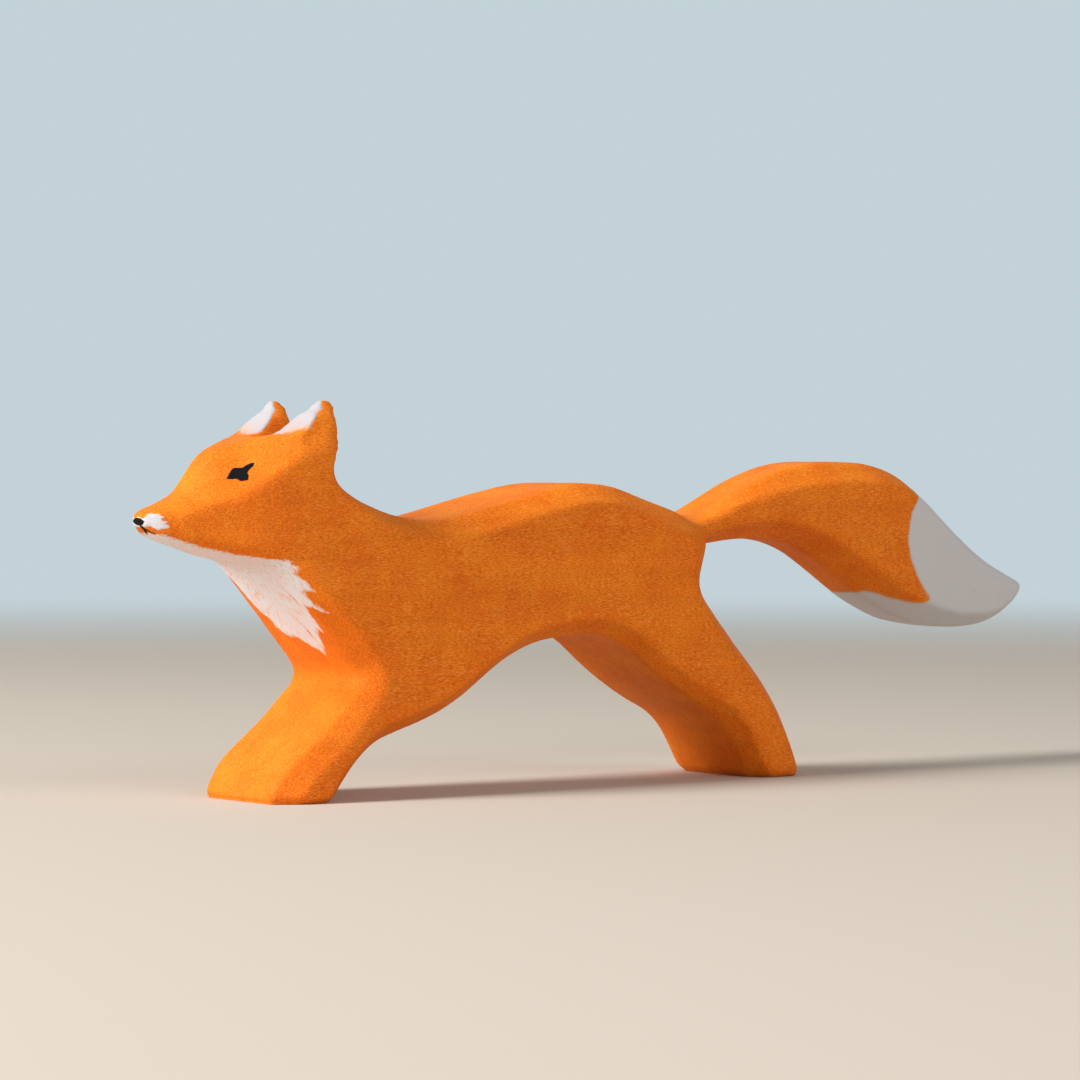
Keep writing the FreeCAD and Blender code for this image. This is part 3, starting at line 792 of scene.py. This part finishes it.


# Each piece stands for its CAD node, rides on the one body and takes its material

pieces = [
    (fox, "wood_body", "stained_wood", woodMaterial),
    (ears["left"], "left_ear_coat", "white_paint", whiteMaterials["ear"]),
    (ears["right"], "right_ear_coat", "white_paint", whiteMaterials["ear"]),
    (muzzle, "muzzle_coat", "white_paint", whiteMaterials["muzzle"]),
    (bib, "bib_coat", "white_paint", whiteMaterials["bib"]),
    (tailTip, "tail_tip_coat", "white_paint", whiteMaterials["tail"]),
    (nose, "nose_coat", "black_paint", blackMaterial),
    (mouth, "mouth_line", "black_paint", blackMaterial),
    (eyes["left"], "left_eye_mark", "black_paint", blackMaterial),
    (eyes["right"], "right_eye_mark", "black_paint", blackMaterial),
]
for piece, node, slotName, material in pieces:
    piece.data.materials.append(material)
    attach(piece, "root")
    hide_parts(node)


# Pale studio: a wide plain floor, a white surround and soft light from the left

studio = {
    "floorColour": "#CDC2B4",
    "floorRoughness": 0.8,
    "floorSpecular": 0.1,
    "floorRadius": 1.0,      # m
    "floorSides": 96,
    "fade": (0.36, 0.95),    # m, where the floor melts into the surround
    "backColour": "#C3D2D8",
    "ambient": 0.25,         # light of the surround on the object
    "target": (0, 0, 0.03),  # m, where the lamps look
    "keyPower": 21.5,        # W, from the left, a little behind the nose's far side
    "keyPlan": (-0.988, 0.155),        # its direction seen from above
    "keyElevation": 31,      # degrees
    "keyDistance": 1.2,      # m
    "keySize": (0.4, 0.85),  # m, wide and high, like a window
    "fillPower": 5.6,        # W, from beside the camera
    "fillDirection": (0.15, -1.0, 0.45),
    "fillDistance": 1.3,     # m
    "fillSize": (0.9, 0.9),  # m
}


def makeFloor():
    radius, sides = studio["floorRadius"], studio["floorSides"]
    turns = [2 * math.pi * i / sides for i in range(sides)]
    ring = [(radius * math.cos(turn), radius * math.sin(turn), 0.0) for turn in turns]
    floor = newPiece("studioFloor", np.array(ring) / mm, [list(range(sides))])
    material, tree = freshMaterial("paleFloor")
    matt = addNode(tree, "ShaderNodeBsdfPrincipled", inputs={
        "Base Color": linearColour(studio["floorColour"]), "Roughness": studio["floorRoughness"],
        "Specular IOR Level": studio["floorSpecular"]})
    clear = addNode(tree, "ShaderNodeBsdfTransparent")
    place = addNode(tree, "ShaderNodeTexCoord").outputs["Object"]
    reach = addNode(tree, "ShaderNodeVectorMath", {"operation": "LENGTH"}, {0: place}).outputs["Value"]
    gone = addNode(tree, "ShaderNodeMapRange", {"interpolation_type": "SMOOTHSTEP"}, {
        "Value": reach, "From Min": studio["fade"][0], "From Max": studio["fade"][1]}).outputs[0]
    mixed = addNode(tree, "ShaderNodeMixShader", inputs={
        0: gone, 1: matt.outputs[0], 2: clear.outputs[0]})
    addNode(tree, "ShaderNodeOutputMaterial", inputs={"Surface": mixed.outputs[0]})
    floor.data.materials.append(material)


def makeSurround():
    # the camera and the gloss see the pale backdrop, and the object gets a plain ambient light
    world = bpy.data.worlds.new("paleSurround")
    bpy.context.scene.world = world
    world.use_nodes = True
    tree = world.node_tree
    tree.nodes.clear()
    path = addNode(tree, "ShaderNodeLightPath")
    seen = path.outputs["Is Camera Ray"]
    for ray in ("Is Glossy Ray", "Is Transmission Ray"):
        seen = addNode(tree, "ShaderNodeMath", {"operation": "MAXIMUM"}, {
            0: seen, 1: path.outputs[ray]}).outputs[0]
    light = addNode(tree, "ShaderNodeBackground", inputs={
        "Color": (1.0, 1.0, 1.0, 1.0), "Strength": studio["ambient"]})
    back = addNode(tree, "ShaderNodeBackground", inputs={
        "Color": linearColour(studio["backColour"]), "Strength": 1.0})
    mixed = addNode(tree, "ShaderNodeMixShader", inputs={
        0: seen, 1: light.outputs[0], 2: back.outputs[0]})
    addNode(tree, "ShaderNodeOutputWorld", inputs={"Surface": mixed.outputs[0]})


def addSoftLight(name, power, size, direction, distance):
    data = bpy.data.lights.new(name, "AREA")
    data.energy = power
    data.shape = "RECTANGLE"
    data.size, data.size_y = size
    lamp = bpy.data.objects.new(name, data)
    bpy.context.scene.collection.objects.link(lamp)
    toward = Vector(direction).normalized()
    lamp.location = Vector(studio["target"]) + toward * distance
    lamp.rotation_mode = "QUATERNION"
    lamp.rotation_quaternion = toward.to_track_quat("Z", "Y")


def lightStudio():
    rise = math.radians(studio["keyElevation"])
    planX, planY = studio["keyPlan"]
    key = (planX * math.cos(rise), planY * math.cos(rise), math.sin(rise))
    addSoftLight("keyLight", studio["keyPower"], studio["keySize"], key, studio["keyDistance"])
    addSoftLight("fillLight", studio["fillPower"], studio["fillSize"], studio["fillDirection"],
                 studio["fillDistance"])


# The camera stands where the photograph was taken: 37 degrees round from square on, level with
# the fox's head, with a long lens

photoCamera = {
    "place": (-415.2, -533.5, 50.8),     # mm
    "azimuth": -37.0,        # degrees
    "pitch": 1.075,          # degrees below the horizon
    "lens": 142.17,          # mm
    "sensor": 36,            # mm
    "clip": (0.02, 30),      # m
}


def placeCamera():
    data = bpy.data.cameras.new("photoCamera")
    data.sensor_width = photoCamera["sensor"]
    data.lens = photoCamera["lens"]
    data.clip_start, data.clip_end = photoCamera["clip"]
    camera = bpy.data.objects.new("photoCamera", data)
    bpy.context.scene.collection.objects.link(camera)
    turn, pitch = math.radians(photoCamera["azimuth"]), math.radians(photoCamera["pitch"])
    level = math.cos(pitch)
    ahead = Vector((-math.sin(turn) * level, math.cos(turn) * level, -math.sin(pitch)))
    camera.location = Vector(photoCamera["place"]) * mm
    camera.rotation_mode = "QUATERNION"
    camera.rotation_quaternion = ahead.to_track_quat("-Z", "Y")
    bpy.context.scene.camera = camera


makeFloor()
makeSurround()
lightStudio()
placeCamera()
bpy.context.scene.view_settings.view_transform = "Standard"
print("studio and camera set")
